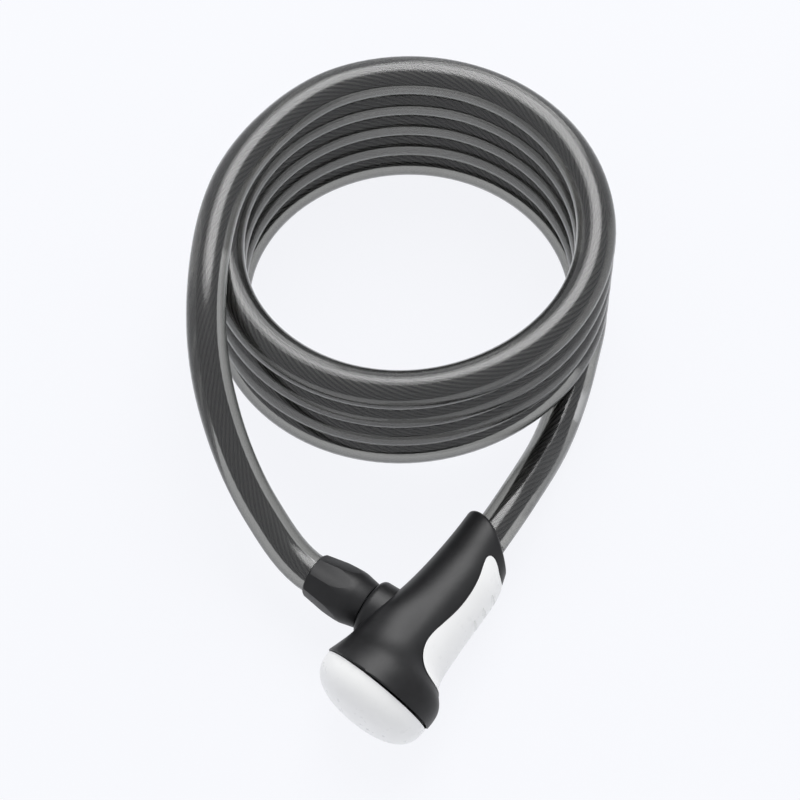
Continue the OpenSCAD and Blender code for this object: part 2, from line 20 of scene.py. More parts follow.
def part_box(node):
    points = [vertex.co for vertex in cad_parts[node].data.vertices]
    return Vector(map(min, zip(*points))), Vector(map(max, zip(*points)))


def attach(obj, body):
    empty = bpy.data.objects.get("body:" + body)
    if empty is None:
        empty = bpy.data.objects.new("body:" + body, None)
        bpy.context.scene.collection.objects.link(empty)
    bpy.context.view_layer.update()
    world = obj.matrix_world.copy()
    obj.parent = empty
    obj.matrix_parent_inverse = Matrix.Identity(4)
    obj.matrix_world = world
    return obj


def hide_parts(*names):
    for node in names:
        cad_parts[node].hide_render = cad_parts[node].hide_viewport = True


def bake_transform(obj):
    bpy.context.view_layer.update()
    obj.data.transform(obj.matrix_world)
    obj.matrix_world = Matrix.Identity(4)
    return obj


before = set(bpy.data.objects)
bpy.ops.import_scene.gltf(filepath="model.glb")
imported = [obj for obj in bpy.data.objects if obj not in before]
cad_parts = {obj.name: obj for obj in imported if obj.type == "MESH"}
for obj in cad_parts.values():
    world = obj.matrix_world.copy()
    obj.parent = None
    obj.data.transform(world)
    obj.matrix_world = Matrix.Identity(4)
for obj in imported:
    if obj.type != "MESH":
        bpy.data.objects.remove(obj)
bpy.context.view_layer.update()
MM = 0.001


def middle(node):
    """The middle of a node's box."""
    low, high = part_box(node)
    return (Vector(low) + Vector(high)) / (2 * MM)


# The head's own origin: the cable's end and the rotor share an axis, and the axis of the
# locking pin meets it here
HEAD = Vector((middle("locking_pin").x, middle("tail_core_end").y, middle("locking_pin").z))
print("head origin, mm:", [round(v, 3) for v in HEAD])

# %% [markdown]
# ## Camera
#
# A long lens from about a metre away, looking steeply down, so the coil shows as stacked
# rings and the head lies towards the viewer. An azimuth and an elevation say it more
# plainly than a matrix does.

# %% Camera
# The distance and the target are in metres, the lens and its sensor in millimetres
CAMERA_AZIMUTH, CAMERA_ELEVATION = math.radians(-57.12), math.radians(64.25)
CAMERA_DISTANCE, CAMERA_LENS, SENSOR = 1.05, 154.4, 36
CAMERA_TARGET = Vector((0.0568, 0.0379, 0.020))


def linked(name, data):
    """A new object in the scene."""
    thing = bpy.data.objects.new(name, data)
    bpy.context.scene.collection.objects.link(thing)
    return thing


camera = linked("camera", bpy.data.cameras.new("camera"))
camera.data.lens = CAMERA_LENS
camera.data.sensor_width = SENSOR
camera.data.clip_end = 20
backwards = Vector((math.sin(CAMERA_AZIMUTH) * math.cos(CAMERA_ELEVATION),
                    -math.cos(CAMERA_AZIMUTH) * math.cos(CAMERA_ELEVATION),
                    math.sin(CAMERA_ELEVATION)))
camera.location = CAMERA_TARGET + CAMERA_DISTANCE * backwards
camera.rotation_euler = (math.pi / 2 - CAMERA_ELEVATION, 0, CAMERA_AZIMUTH)
bpy.context.scene.camera = camera
print("camera at", [round(v, 3) for v in camera.location])

# %% [markdown]
# ## The cable's route
#
# The real cable is set in a coil when its jacket is made, so it springs back to level
# oval turns that lie on each other, and each turn climbs to the next on one side. The
# route can be drawn by hand or simulated, but the coil is regular, so a formula gives it
# exactly, and smooth curves through a few points lead from its ends to the plug and
# head. The numbers are those of the solid.

# %% Coil route
CABLE_D = 12.0
PITCH = 12.5
COIL_CENTRE = Vector((92.5, 57.5))
# Half the length and half the width of the oval, and its turn from the X axis
COIL_HALF = (56.3, 53.2)
COIL_TURNED = math.radians(-57)
COIL_TURNS = 4
# Each turn climbs over this arc, in degrees
CLIMB_FROM, CLIMB_ARC = 160, 160
COIL_START = -13.0
# The last turn ends at the back of the coil, where the cable runs along X
COIL_END = 180 + math.degrees(math.atan(
    COIL_HALF[1] * math.cos(COIL_TURNED)
    / (COIL_HALF[0] * math.sin(COIL_TURNED)))) + 360 * COIL_TURNS


def eased(s, ease=0.25):
    """A share from 0 to 1 that starts and ends gently."""
    s = min(1.0, max(0.0, s))
    if s < ease:
        return s * s / (2 * ease * (1 - ease))
    if s > 1 - ease:
        return 1 - (1 - s) ** 2 / (2 * ease * (1 - ease))
    return (s - ease / 2) / (1 - ease)


def coil_point(angle):
    """The centre of the cable at an angle in degrees, which grows by 360 each turn."""
    turn = math.floor((angle - COIL_START) / 360)
    climb = eased((angle - 360 * turn - CLIMB_FROM) / CLIMB_ARC)
    flat = Vector((COIL_HALF[0] * math.cos(math.radians(angle)),
                   COIL_HALF[1] * math.sin(math.radians(angle))))
    flat.rotate(Matrix.Rotation(COIL_TURNED, 2))
    return Vector((*(COIL_CENTRE + flat), CABLE_D / 2 + PITCH * (turn + climb)))


def coil_way(angle):
    """The level direction of the coil at an angle."""
    way = coil_point(angle + 0.5) - coil_point(angle - 0.5)
    way.z = 0
    return way.normalized()


coil_foot = coil_point(COIL_START) - CABLE_D * coil_way(COIL_START)
coil_head = coil_point(COIL_END) + CABLE_D * coil_way(COIL_END)
print("coil from", [round(v, 2) for v in coil_foot], "to", [round(v, 2) for v in coil_head])

# %% Leads to the plug and head
# The route has a point about every STEP, and each lead bends through these places
STEP = 1.5
PLUG_BEND = [(1.5, 51.5, 24.5), (15, 74.5, 39.5), (34.5, 93, 56), (58, 105.5, 57.8)]
TAIL_BEND = [(77.5, -5.3, 7), (49.5, -9.2, 17.8)]
plug_rear = Vector((HEAD.x, 27.95, HEAD.z))
ferrule_face = Vector((26.15, HEAD.y, HEAD.z))


def hermite(t, span, start, way_out, end, way_in):
    """The value or point at a share t of a span, with a given slope at either end."""
    return ((2 * t**3 - 3 * t**2 + 1) * start + (t**3 - 2 * t**2 + t) * span * way_out
            + (3 * t**2 - 2 * t**3) * end + (t**3 - t**2) * span * way_in)


def smooth_through(points, first, last, step):
    """Points about a step apart on a smooth curve through the given ones."""
    points = [Vector(p) for p in points]
    legs = [b - a for a, b in zip(points, points[1:])]
    bends = [(after / after.length + before / before.length) / 2
             for before, after in zip(legs, legs[1:])]
    ways = [Vector(first)] + bends + [Vector(last)]
    line = []
    for a, b, way_a, way_b in zip(points, points[1:], ways, ways[1:]):
        span = (b - a).length
        count = max(2, round(span / step))
        line += [hermite(k / count, span, a, way_a, b, way_b) for k in range(count)]
    return line + [points[-1]]


plug_lead = smooth_through([plug_rear, *PLUG_BEND, coil_head],
                           (0, 1, 0), -coil_way(COIL_END), STEP)
tail_lead = smooth_through([coil_foot, *TAIL_BEND, ferrule_face],
                           -coil_way(COIL_START), (-1, 0, 0), STEP)
print("leads of", len(plug_lead), "and", len(tail_lead), "points")

# %% Whole route
# The cable starts a little inside the plug, and its straight parts have STUB points
INTO_PLUG = Vector((0, 1.2, 0))
STUB = 8
# The points of the route where the plug's lead leaves the coil
KINK_FROM, KINK_TO = 50, 130


def straight(a, b):
    """Points from one place up to, but not with, another."""
    return [a.lerp(b, k / STUB) for k in range(STUB)]


def relaxed(line, first, last, reach=9, fade=20):
    """Evens out the bends between two places by averaging each point with its neighbours."""
    even = list(line)
    for k in range(first, last):
        near = line[k - reach:k + reach + 1]
        share = eased(min(k - first, last - k) / fade)
        even[k] = line[k].lerp(sum(near, Vector((0, 0, 0))) / len(near), share)
    return even


def line_length(line):
    return sum((b - a).length for a, b in zip(line, line[1:]))


coil_steps = round(math.radians(COIL_END - COIL_START) * sum(COIL_HALF) / 2 / STEP)
coil_line = [coil_point(COIL_END + (COIL_START - COIL_END) * k / coil_steps)
             for k in range(coil_steps + 1)]
route = (straight(plug_rear - INTO_PLUG, plug_rear) + plug_lead[:-1]
         + straight(coil_head, coil_line[0]) + coil_line
         + straight(coil_line[-1], coil_foot)[1:] + tail_lead)
for _ in range(2):
    route = relaxed(route, KINK_FROM, KINK_TO)
print("cable:", len(route), "points,", round(line_length(route), 1), "mm")

# %% [markdown]
# ## Cable: jacket and steel core
#
# The jacket is a clear, smoky vinyl tube 12 mm across, pressed over a steel rope. Light
# bends in it, so the rope looks wider than it is. Both are curves with a bevel: a round
# one for the jacket, and for the rope a lobed outline that turns as it goes, which lays
# its outer strands in a helix. Each curve is made a mesh at the end.

# %% Curve helpers
SAME_POINT = 1e-4


def weld(mesh):
    """Closes the seams of a tube and turns its faces outwards."""
    bm = bmesh.new()
    bm.from_mesh(mesh)
    bmesh.ops.remove_doubles(bm, verts=bm.verts, dist=SAME_POINT * MM)
    bmesh.ops.recalc_face_normals(bm, faces=bm.faces)
    bm.to_mesh(mesh)
    bm.free()


def section_of(name, outline):
    """A closed flat curve that a bevel can follow."""
    shape = bpy.data.curves.new(name, "CURVE")
    loop = shape.splines.new("POLY")
    loop.points.add(len(outline) - 1)
    for point, (x, y) in zip(loop.points, outline):
        point.co = (MM * x, MM * y, 0, 1)
    loop.use_cyclic_u = True
    return linked(name, shape)


def as_mesh(thing):
    """The mesh that an object shows once its bevel or modifiers have run."""
    bpy.context.view_layer.update()
    depsgraph = bpy.context.evaluated_depsgraph_get()
    return bpy.data.meshes.new_from_object(thing.evaluated_get(depsgraph))


print("points closer than", SAME_POINT, "mm count as one")

# %% Jacket
ROUNDNESS = 6


def swept_mesh(name, line, radius=0.0, outline=None, lay=None):
    """A closed tube along a line, round or with an outline that turns once per lay."""
    curve = bpy.data.curves.new(name, "CURVE")
    curve.dimensions, curve.twist_mode = "3D", "Z_UP"
    curve.use_fill_caps = True
    spline = curve.splines.new("POLY")
    spline.points.add(len(line) - 1)
    run = 0.0
    for k, p in enumerate(line):
        run += (p - line[k - 1]).length if k else 0
        spline.points[k].co = (*(MM * p), 1)
        spline.points[k].tilt = 2 * math.pi * (run / lay % 1) if lay else 0
    guides = [linked(name + "_curve", curve)]
    if outline:
        guides.append(section_of(name + "_outline", outline))
        curve.bevel_mode, curve.bevel_object = "OBJECT", guides[1]
    else:
        curve.bevel_depth, curve.bevel_resolution = MM * radius, ROUNDNESS
    mesh = as_mesh(guides[0])
    for guide in guides:
        bpy.data.objects.remove(guide)
    mesh.name = name
    weld(mesh)
    mesh.shade_smooth()
    print(name, len(mesh.polygons), "faces")
    return linked(name, mesh)


# Every other point is enough for the round jacket, but its last one is always kept
jacket_line = route[::2] if len(route) % 2 else route[::2] + [route[-1]]
jacket = swept_mesh("cable_jacket", jacket_line, radius=CABLE_D / 2)

# %% Rope
# The rope's radius over its strands, then their number and the radius of each
CORE_R = 2.15
WIRES, WIRE_R = 12, 0.45
# The points of each lobe, in degrees from its top
LOBE = (-88, -55, -18, 18, 55)
# The length of cable in which a strand goes once round
LAY = 42.0


def rope_outline():
    """Round lobes side by side: the outer strands, as a straight cut of the rope shows."""
    ring = CORE_R - WIRE_R
    points = []
    for k in range(WIRES):
        a = 2 * math.pi * k / WIRES
        for spread in LOBE:
            b = a + math.radians(spread)
            points.append((ring * math.cos(a) + WIRE_R * math.cos(b),
                           ring * math.sin(a) + WIRE_R * math.sin(b)))
    return points


core = swept_mesh("cable_core", route, outline=rope_outline(), lay=LAY)

# %% Cable meshes in place
for piece in (jacket, core):
    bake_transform(piece)
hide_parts("cable_coil", "plug_lead", "tail_lead")
print("cord from the ferrule at", [round(v, 1) for v in ferrule_face], "to the plug")

# %% [markdown]
# ## Head shell
#
# The shell is one black moulding: a bell at the key end, a narrower grip, and a tail cut
# on a slant where the cable goes in. It is fuller on the plug's side than on the grip's.
# A surface could be drawn through sections, but a spun blank closes by itself: its tail
# is shifted to the slant, each of its points is pressed in or out to the outline of its
# side, and its mouth is cut off along the tilted rim.

# %% Shell outlines
# A place along the head and the radius there, from the bell to the tail
PLUG_SIDE = [(-28, 21.9), (-20, 20.5), (-16.8, 19.4), (-12.6, 18.0), (-7.5, 16.7), (-2, 15.4),
             (4, 14.05), (10.6, 12.75), (18.6, 11.4), (26.7, 10.4), (34.8, 9.75), (41, 9.5)]
GRIP_SIDE = [(-28, 16.6), (-22, 16.85), (-19, 17.1), (-16.8, 16.95), (-15, 16.3),
             (-13.4, 15.15), (-11.8, 13.9), (-10.2, 12.9), (-8.4, 12.3), (-6, 12.0),
             (-2, 11.9), (4, 11.9), (10, 12.05), (16, 12.25), (21, 12.3), (25, 11.9),
             (28.3, 11.15), (32.8, 9.95), (37, 9.1), (41, 8.6)]


def along(table, x):
    """A smooth curve through a table of places and radii."""
    x = min(max(x, table[0][0]), table[-1][0])
    k = max(i for i in range(len(table) - 1) if table[i][0] <= x)
    (x0, r0), (x1, r1) = table[k], table[k + 1]

    def slope(i):
        a, b = table[max(i - 1, 0)], table[min(i + 1, len(table) - 1)]
        return (b[1] - a[1]) / (b[0] - a[0])

    return hermite((x - x0) / (x1 - x0), x1 - x0, r0, slope(k), r1, slope(k + 1))


print("shell at the port:", round(along(PLUG_SIDE, 0) + along(GRIP_SIDE, 0), 1), "mm wide")

# %% Shell blank
BELL_END, TAIL_END = -28, 41
BLANK_R = 10.0
SPACING, PLACES = 0.75, 90
TAIL_ROUND = 1.2
# Seen from above, the tail ends on an arc. Points past SLANT_FROM are shifted to suit it
SLANT_FROM = 20
SLANT_CENTRE, SLANT_R = (12.4, 12.68), 30


def turned(profile, steps=128):
    """Spins (place, radius) points round the X axis. Points on the axis close it."""
    bm = bmesh.new()
    verts = [bm.verts.new((x, 0, r)) for x, r in profile]
    edges = [bm.edges.new(pair) for pair in zip(verts, verts[1:])]
    if profile[0][1] > 0:
        edges.append(bm.edges.new((verts[-1], verts[0])))
    bmesh.ops.spin(bm, geom=verts + edges, cent=(0, 0, 0), axis=(1, 0, 0),
                   angle=2 * math.pi, steps=steps, use_merge=True)
    bmesh.ops.remove_doubles(bm, verts=bm.verts, dist=SAME_POINT)
    bmesh.ops.recalc_face_normals(bm, faces=bm.faces)
    return bm


def slant(y):
    """How far along the head the tail reaches, at a distance to the plug's side."""
    return SLANT_CENTRE[0] + math.sqrt(SLANT_R**2 - (y - SLANT_CENTRE[1]) ** 2)


def shell_blank():
    """A round bar with a rounded tail that ends along the slant."""
    bar = [(BELL_END + SPACING * k, BLANK_R) for k in range(PLACES)]
    quarter_round = [(TAIL_END - TAIL_ROUND * (1 - math.sin(math.radians(a))),
                      BLANK_R - TAIL_ROUND * (1 - math.cos(math.radians(a))))
                     for a in range(0, 91, 15)]
    bm = turned([(BELL_END, 0)] + bar + quarter_round + [(TAIL_END, 0)])
    for v in bm.verts:
        if v.co.x > SLANT_FROM:
            share = (v.co.x - SLANT_FROM) / (TAIL_END - SLANT_FROM)
            v.co.x = SLANT_FROM + share * (slant(v.co.y) - SLANT_FROM)
    return bm


print("tail ends at", round(slant(BLANK_R), 1), "mm by the plug,",
      round(slant(-BLANK_R), 1), "mm by the grip")

# %% Shell sides
# How much fuller the shoulders are, and how far along the head that fades
SHOULDER, SHOULDER_REACH = 0.1, 9


def press_to_sides(bm, extra):
    """Moves the points of a blank in or out to the outline of their side, plus an extra."""
    for v in bm.verts:
        x, y, z = v.co
        r = math.hypot(y, z)
        if r < 1e-3:
            continue
        grip = (1 - y / r) / 2
        wanted = along(PLUG_SIDE, x) * (1 - grip) + along(GRIP_SIDE, x) * grip + extra
        if y > 0:
            # Fuller shoulders carry the collar
            wanted *= 1 + (SHOULDER * (2 * y * z / r**2) ** 2
                           * math.exp(-(x / SHOULDER_REACH) ** 2))
        v.co.y, v.co.z = y / r * (wanted + r - BLANK_R), z / r * (wanted + r - BLANK_R)
    bmesh.ops.recalc_face_normals(bm, faces=bm.faces)


print(f"the shoulders are at most {SHOULDER:.0%} fuller")

# %% Shell solid
# The plane of the rim: its middle, its turn to the side and its lean
RIM_AT, RIM_TURN, RIM_LEAN = (-20, 0, 0), math.radians(-7), math.radians(-100)
RIM = (Matrix.Translation(RIM_AT) @ Matrix.Rotation(RIM_TURN, 4, "Z")
       @ Matrix.Rotation(RIM_LEAN, 4, "Y"))
# The mouth is cut just outside that plane, and one degree squarer to the head
MOUTH_AT, MOUTH_TURN = (-20.6, 0, 0), math.radians(1)
LIP_ROUND = 0.5


def sliced(bm, point, outwards):
    """Cuts off what lies past a plane, and gives the edges of the opening."""
    result = bmesh.ops.bisect_plane(bm, geom=bm.verts[:] + bm.edges[:] + bm.faces[:],
                                    dist=1e-5, plane_co=point, plane_no=outwards,
                                    clear_outer=True)
    return [e for e in result["geom_cut"] if isinstance(e, bmesh.types.BMEdge)]


def piece_from(bm, name):
    """A piece from a bmesh in the head's own millimetres."""
    bmesh.ops.remove_doubles(bm, verts=bm.verts, dist=SAME_POINT)
    bmesh.ops.recalc_face_normals(bm, faces=bm.faces)
    bmesh.ops.translate(bm, verts=bm.verts, vec=HEAD)
    bmesh.ops.scale(bm, verts=bm.verts, vec=(MM, MM, MM))
    mesh = bpy.data.meshes.new(name)
    bm.to_mesh(mesh)
    bm.free()
    return linked(name, mesh)


def shell_solid(name, extra=0.0):
    """The shell's outer form, filled, grown by an extra all round."""
    bm = shell_blank()
    press_to_sides(bm, extra)
    lip = sliced(bm, MOUTH_AT, Matrix.Rotation(MOUTH_TURN, 3, "Z") @ RIM.to_3x3()
                 @ Vector((0, 0, 1)))
    bmesh.ops.edgeloop_fill(bm, edges=lip)
    bmesh.ops.bevel(bm, geom=lip, offset=LIP_ROUND, segments=4, profile=0.5,
                    affect="EDGES", material=-1)
    return piece_from(bm, name)


shell = shell_solid("head_shell_moulding")
print("shell outline", [round(v / MM, 1) for v in shell.dimensions], "mm")

# %% [markdown]
# ## Cuts in the shell
#
# A mould core leaves each hollow: the pocket for the seat plate in the mouth, the bore
# for the lock body and cable, the port for the collar, and the shallow bed that the
# white grip is pressed into. Each core is a turned or an extruded solid, and a Boolean
# cuts the shell by it, as the real core keeps the plastic out.

# %% Turned cores
# From the head's own axis to the plug's, and to the axis of the rim
TO_Y = Matrix.Rotation(math.pi / 2, 4, "Z")
TO_RIM = RIM @ Matrix.Rotation(math.radians(-90), 4, "Y")
# The profile of each core: a place along its axis and the radius there
POCKET_AT, POCKET = (-4.5, 0, 0), [(0, 0), (0, 16.5), (6, 16.5), (6, 0)]
HOLLOW = [(-24, 0), (-24, 14.4), (-15.9, 14.4), (-12.9, 10.9), (12.1, 10.9), (12.1, 8.9),
          (28.1, 8.9), (28.1, 6.8), (50, 6.8), (50, 0)]
PORT = [(5, 0), (5, 6.6), (11.3, 6.6), (11.3, 9.5), (24, 9.5), (24, 0)]
INNER_STEPS = 96


def place(bm, matrix):
    """Moves a bmesh by a matrix, and hands it on."""
    bmesh.ops.transform(bm, matrix=matrix, verts=bm.verts)
    return bm


pocket = piece_from(place(turned(POCKET), TO_RIM @ Matrix.Translation(POCKET_AT)),
                    "pocket_tool")
hollow = piece_from(turned(HOLLOW, INNER_STEPS), "hollow_tool")
port = piece_from(place(turned(PORT, INNER_STEPS), TO_Y), "port_tool")
for core_tool in (pocket, hollow, port):
    print(core_tool.name, [round(v / MM, 1) for v in core_tool.dimensions], "mm")

# %% Core of the grip's bed
# The grip's edge as seen from above, from the tail along the plug's side to the bell
LEAF_LINE = [(26.5, -12.5), (28, -10), (29.6, -8.2), (30.5, -6.5), (30.4, -5.4), (29.4, -4.8),
             (28, -4.9), (25.7, -5.5), (22.7, -6.3), (19.5, -6.8), (16, -7), (12.3, -6.9),
             (8.7, -6.5), (3.8, -5.6), (-0.9, -4.8), (-4.7, -4.9), (-8, -6.1),
             (-10.2, -7.9), (-11.6, -10), (-12.2, -12.6)]
# The directions in which that line starts and ends, and the side where it closes
LEAF_FIRST, LEAF_LAST = (0.5, 0.87, 0), (-0.1, -1, 0)
LEAF_BACK = [Vector((-12.2, -22, 0)), Vector((26.2, -22, 0))]
LEAF_STEP = 0.7
LEAF_MIDDLE = Vector((12, -12, 0))
LEAF_HALF = 19


def leaf_prism(name, grow):
    """A prism over the grip's outline, which is first grown sideways."""
    line = smooth_through([(x, y, 0) for x, y in LEAF_LINE],
                          LEAF_FIRST, LEAF_LAST, LEAF_STEP) + LEAF_BACK
    bm = bmesh.new()
    verts = []
    for k, p in enumerate(line):
        way = (line[(k + 1) % len(line)] - line[k - 1]).normalized()
        out = Vector((way.y, -way.x, 0))
        if out.dot(p - LEAF_MIDDLE) < 0:
            out = -out
        verts.append(bm.verts.new(p + grow * out + Vector((0, 0, -LEAF_HALF))))
    pushed = bmesh.ops.extrude_face_region(bm, geom=[bm.faces.new(verts)])
    bmesh.ops.translate(bm, vec=(0, 0, 2 * LEAF_HALF),
                        verts=[v for v in pushed["geom"] if isinstance(v, bmesh.types.BMVert)])
    return piece_from(bm, name)


# The bed is this much wider than the leaf all round
BED_GAP = 0.28
bed = leaf_prism("bed_tool", BED_GAP)
print("bed", [round(v / MM, 1) for v in bed.dimensions], "mm")

# %% Shell with its cuts
BED_DEPTH = 0.7
# Points nearer and edges shorter than these are only leftovers of a cut
SLIVER, NEEDLE = 0.03, 0.02


def cut(piece, *steps):
    """Applies Boolean steps, each an operation and a tool, then drops the tools."""
    for operation, tool in steps:
        modifier = piece.modifiers.new(operation, "BOOLEAN")
        modifier.operation, modifier.object, modifier.solver = operation, tool, "EXACT"
    mesh = as_mesh(piece)
    piece.modifiers.clear()
    piece.data = mesh
    for _, tool in steps:
        bpy.data.objects.remove(tool)
    print(piece.name, "cut to", len(mesh.polygons), "faces")
    return piece


def smooth_shade(piece, angle=35):
    """Smooth shading with sharp edges kept, once the cuts' slivers are merged away."""
    bm = bmesh.new()
    bm.from_mesh(piece.data)
    bmesh.ops.remove_doubles(bm, verts=bm.verts, dist=SLIVER * MM)
    bmesh.ops.dissolve_degenerate(bm, edges=bm.edges, dist=NEEDLE * MM)
    bm.to_mesh(piece.data)
    bm.free()
    piece.data.shade_smooth()
    piece.data.set_sharp_from_angle(angle=math.radians(angle))


bed = cut(bed, ("DIFFERENCE", shell_solid("bed_floor", -BED_DEPTH)))
shell = cut(shell, *[("DIFFERENCE", tool) for tool in (pocket, hollow, port, bed)])
smooth_shade(shell)
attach(shell, "head")
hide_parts("head_shell")

# %% [markdown]
# ## Grip insert
#
# The white leaf on the far side of the grip is a second moulding. It has the shell's own
# curve, a little proud of it, and three finger notches across its outer side, so it is
# the grown shell form cut by the same outline as its bed.

# %% Grip insert
# How far the leaf stands out of the shell's surface, and how far it reaches under it
LEAF_PROUD, LEAF_DEPTH = 0.22, 0.62
# The notches' places, the radius of the bar that leaves them, how far outside the leaf's
# surface its middle runs, and how far up and down the side it goes, in degrees
NOTCHES = (21.0, 16.0, 11.2)
NOTCH_R, NOTCH_OUT = 0.85, 0.15
NOTCH_HALF = 22


def notch_tool(x):
    """A round bar bent round the grip, which leaves a shallow groove."""
    bm = bmesh.new()
    bmesh.ops.create_circle(bm, cap_ends=True, segments=32, radius=NOTCH_R)
    bmesh.ops.translate(bm, verts=bm.verts,
                        vec=(x, -along(GRIP_SIDE, x) - LEAF_PROUD - NOTCH_OUT, 0))
    bmesh.ops.rotate(bm, verts=bm.verts, cent=(0, 0, 0),
                     matrix=Matrix.Rotation(math.radians(NOTCH_HALF), 3, "X"))
    bmesh.ops.spin(bm, geom=bm.faces[:], cent=(0, 0, 0), axis=(1, 0, 0),
                   angle=math.radians(-2 * NOTCH_HALF), steps=16)
    return piece_from(bm, "notch_tool")


def soften(piece, width, angle=50):
    """Rounds the edges that a moulding never has sharp."""
    rounding = piece.modifiers.new("rounding", "BEVEL")
    rounding.width, rounding.segments = MM * width, 3
    rounding.limit_method, rounding.angle_limit = "ANGLE", math.radians(angle)


insert = cut(shell_solid("grip_leaf", LEAF_PROUD), ("INTERSECT", leaf_prism("leaf_tool", 0.0)),
             ("DIFFERENCE", shell_solid("leaf_floor", -LEAF_DEPTH)),
             *[("DIFFERENCE", notch_tool(x)) for x in NOTCHES])
smooth_shade(insert)
soften(insert, 0.14)
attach(insert, "head")
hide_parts("grip_insert")

# %% [markdown]
# ## Collar
#
# A black ring in the head's side guides the pin of the plug. Its outer edge is well
# rounded, and the plug's face stands just off it. It is one turned shape.

# %% Collar
COLLAR_BACK, COLLAR_FACE = 11.4, 18.4
COLLAR_BORE, COLLAR_LIP, COLLAR_R = 4.3, 5.2, 9.4
BORE_ROUND, EDGE_ROUND = 0.5, 1.9


def arc(centre, radius, start, end, count):
    """Points on a part of a circle, between two angles in degrees."""
    return [(centre[0] + radius * math.cos(math.radians(start + (end - start) * k / count)),
             centre[1] + radius * math.sin(math.radians(start + (end - start) * k / count)))
            for k in range(count + 1)]


collar_profile = (
    [(COLLAR_BACK, COLLAR_BORE), (COLLAR_BACK, COLLAR_R)]
    + arc((COLLAR_FACE - EDGE_ROUND, COLLAR_R - EDGE_ROUND), EDGE_ROUND, 90, 0, 12)
    + [(COLLAR_FACE, COLLAR_LIP)]
    + arc((COLLAR_FACE - BORE_ROUND, COLLAR_BORE + BORE_ROUND), BORE_ROUND, 0, -90, 3))
collar = piece_from(place(turned(collar_profile, INNER_STEPS), TO_Y), "port_collar")
smooth_shade(collar)
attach(collar, "head")
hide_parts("collar")
print("collar", len(collar.data.polygons), "faces")

# %% [markdown]
# ## Dust cover
#
# The white dome swings aside on a pin to show the keyway. It is a shell about 2 mm
# thick, fuller than half an ellipse, with a boss for the pin and a recess for its head.
# The dome is turned, and cut by a smaller one that has a hole where the boss stays.

# %% Dust cover
# The dome sits a little to the plug's side of the rim's axis
DOME_SHIFT = Matrix.Translation((0, 1.6, 0))
DOME_LIFT = 1.1
DOME_R, DOME_HEIGHT = 18.2, 11.5
INSIDE_R, INSIDE_HEIGHT = 16.2, 10
BOSS_R, BOSS_TOP = 3.4, 12
PIN_R, PIN_TOP = 1.55, 6.6
# The pivot stands this far round the rim, and this far out from its middle
PIVOT_ROUND, PIVOT_OUT = math.radians(22), 14.0
PIVOT = Matrix.Rotation(PIVOT_ROUND, 4, "X") @ Matrix.Translation((0, 0, -PIVOT_OUT))


def dome(radius, height, skirt=1.0, power=2.4, count=24):
    """Half a rounded-square curve on a short skirt. A power of 2 would be an ellipse."""
    return [(0.0, radius)] + [
        (skirt + (height - skirt) * math.sin(math.radians(90 * k / count)) ** (2 / power),
         max(0.0, radius * math.cos(math.radians(90 * k / count)) ** (2 / power)))
        for k in range(count)] + [(height, 0.0)]


def dome_solid(name, radius, height, foot):
    """A filled dome over the rim, lifted a little, with a flat foot."""
    profile = [(foot, 0.0)] + [(x + DOME_LIFT, r) for x, r in dome(radius, height)]
    return piece_from(place(turned(profile), TO_RIM @ DOME_SHIFT), name)


def on_pivot(name, radius, top):
    """A round peg on the pivot's axis, up to a height over the rim's plane."""
    peg = turned([(-1, 0), (-1, radius), (top, radius), (top, 0)], 64)
    return piece_from(place(peg, TO_RIM @ PIVOT), name)


inside = cut(dome_solid("inside_tool", INSIDE_R, INSIDE_HEIGHT, 0.0),
             ("DIFFERENCE", on_pivot("boss_tool", BOSS_R, BOSS_TOP)))
cover = cut(dome_solid("dust_cover_dome", DOME_R, DOME_HEIGHT, DOME_LIFT),
            ("DIFFERENCE", inside), ("DIFFERENCE", on_pivot("pin_tool", PIN_R, PIN_TOP)))
smooth_shade(cover, 50)
soften(cover, 0.2, 60)
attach(cover, "cover")
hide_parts("dust_cover")

# %% [markdown]
# ## Plug
#
# The plug's barrel is turned and then given flats, so the fingers can hold it. Each flat
# meets the round body in a curved line. A turned form and eight slanted planes that cut
# it give exactly that.

# %% Plug barrel
BARREL_AT = 18.7
BARREL = [(0, 5.0), (0, 7.2), (0.12, 7.4), (0.5, 7.55), (3.0, 8.05), (4.0, 8.28), (5.0, 8.46),
          (6.4, 8.52), (9, 8.42), (12, 8.2), (15, 7.9), (17, 7.65), (18, 7.35), (18.6, 6.95),
          (19.0, 6.5), (19.2, 6.2), (19.2, 6.05), (17.7, 6.05), (17.7, 5.0)]
# Each flat lies on a line through these two points: a distance to the axis and a place
FLATS = 8
FLAT_FRONT, FLAT_REAR = Vector((8.4, 25.4)), Vector((6.7, 36.0))
RIDGE_ROUND, RIDGE_ANGLE = 0.14, math.radians(4)

barrel = place(turned([(BARREL_AT + x, r) for x, r in BARREL]), TO_Y)
flat_slope = math.atan2(FLAT_FRONT.x - FLAT_REAR.x, FLAT_REAR.y - FLAT_FRONT.y)
for k in range(FLATS):
    turn = Matrix.Rotation(math.radians(360 / FLATS * k), 3, "Y")
    opening = sliced(barrel, turn @ Vector((FLAT_FRONT.x, FLAT_FRONT.y, 0)),
                     turn @ Vector((math.cos(flat_slope), math.sin(flat_slope), 0)))
    bmesh.ops.holes_fill(barrel, edges=opening, sides=0)
